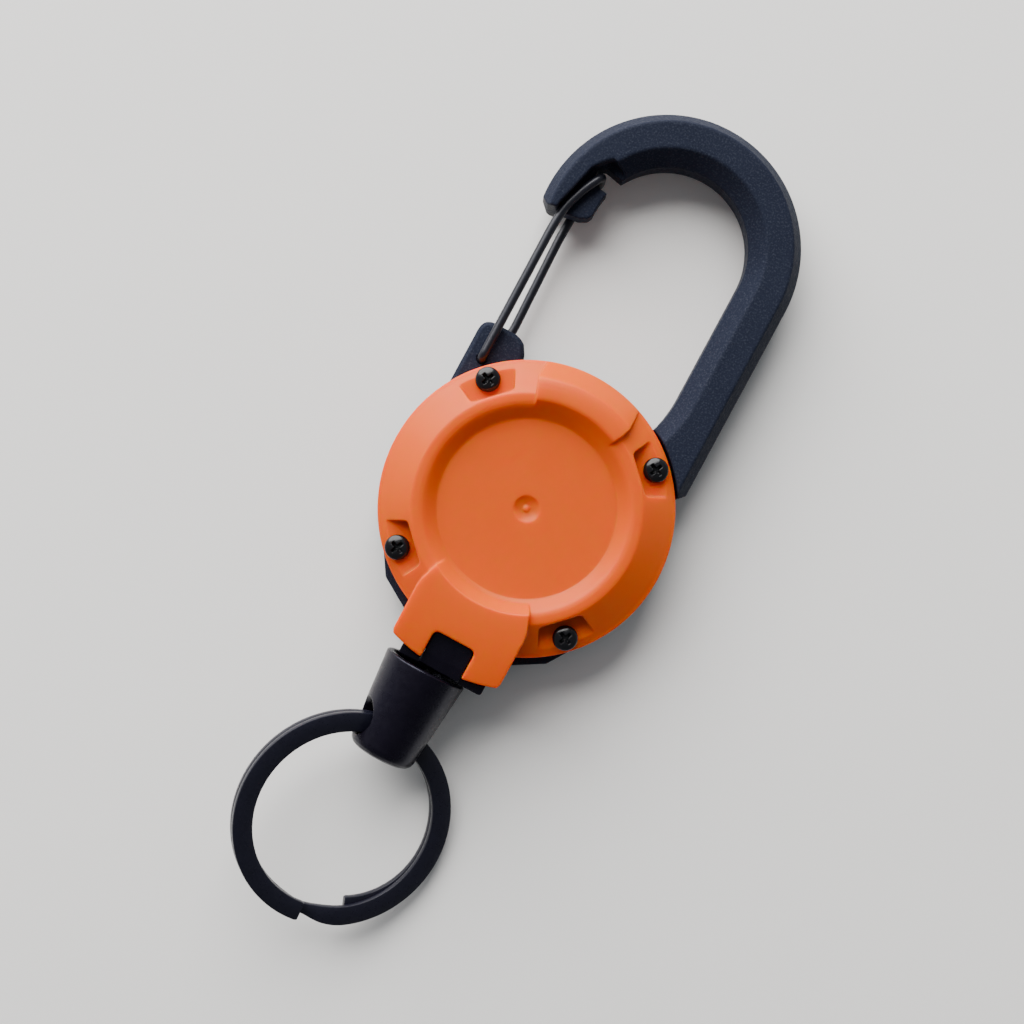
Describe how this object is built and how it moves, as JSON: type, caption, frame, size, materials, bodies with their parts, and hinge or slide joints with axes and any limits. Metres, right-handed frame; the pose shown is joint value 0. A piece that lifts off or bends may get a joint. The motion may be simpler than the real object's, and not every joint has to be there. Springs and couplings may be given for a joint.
{
  "type": "retractable badge reel",
  "caption": "Round spring-return cord reel with a carabiner hook, wire gate and a split key ring on a tapered cord end.",
  "frame": {"origin": "centre of the round case on its flat rear face", "axes": "+Z out of the front cover, +Y towards the top of the hook; the cord leaves along -Y"},
  "size_m": [0.0402, 0.122, 0.0134],
  "materials": {
    "rear_case": "fine-grained matte moulding",
    "front_cover": "satin moulding",
    "cover_screw": "black plated, glossy",
    "gate_wire": "black coated wire",
    "cord_nozzle": "glossy moulding",
    "spool": "natural plastic",
    "mainspring": "blued strip",
    "spool_axle": "turned",
    "washer": "natural nylon",
    "cord": "braided cord",
    "cord_stop": "crimped sleeve",
    "end_barrel": "semi-gloss with fine scratches",
    "split_ring": "black plated, semi-gloss"
  },
  "bodies": {
    "case": {"rear_case": "rear_case", "front_cover": "front_cover", "cover_screw_1": "cover_screw", "cover_screw_2": "cover_screw", "cover_screw_3": "cover_screw", "cover_screw_4": "cover_screw", "cord_nozzle": "cord_nozzle", "spool_axle": "spool_axle", "rear_washer": "washer", "front_washer": "washer", "cord_feed": "cord"},
    "gate": {"gate_wire": "gate_wire"},
    "drum": {"spool": "spool", "spring_cover": "spool", "mainspring": "mainspring", "cord_winding": "cord"},
    "cord_end": {"cord_lead": "cord", "cord_stop": "cord_stop"},
    "barrel": {"end_barrel": "end_barrel"},
    "ring": {"split_ring": "split_ring"}
  },
  "joints": [
    {"name": "gate_hinge", "type": "hinge", "parent": "case", "child": "gate", "pos_m": [-0.015, 0.015, 0.0047], "axis": [0, 0, -1], "range_deg": [0, 35], "stiffness_Nm_per_rad": 0.08, "springref_deg": -34.38},
    {"name": "cord_pull", "type": "slide", "parent": "case", "child": "cord_end", "axis": [0, -1, 0], "range_m": [0, 0.6], "stiffness_N_per_m": 3, "springref_m": -0.4},
    {"name": "spool_spin", "type": "hinge", "parent": "case", "child": "drum", "pos_m": [0, 0, 0.0053], "axis": [0, 0, 1], "range_deg": [0, 2752], "deforming": ["mainspring"]},
    {"name": "barrel_swivel", "type": "hinge", "parent": "cord_end", "child": "barrel", "pos_m": [-0.0017, -0.032, 0.0066], "axis": [0, 1, 0], "continuous": true},
    {"name": "ring_swing", "type": "hinge", "parent": "barrel", "child": "ring", "pos_m": [-0.0017, -0.0349, 0.0066], "axis": [0.9272, 0, -0.3746], "range_deg": [-90, 90]}
  ],
  "couplings": [
    {"joint": "spool_spin", "follows": "cord_pull", "rad_per_m": 80}
  ]
}
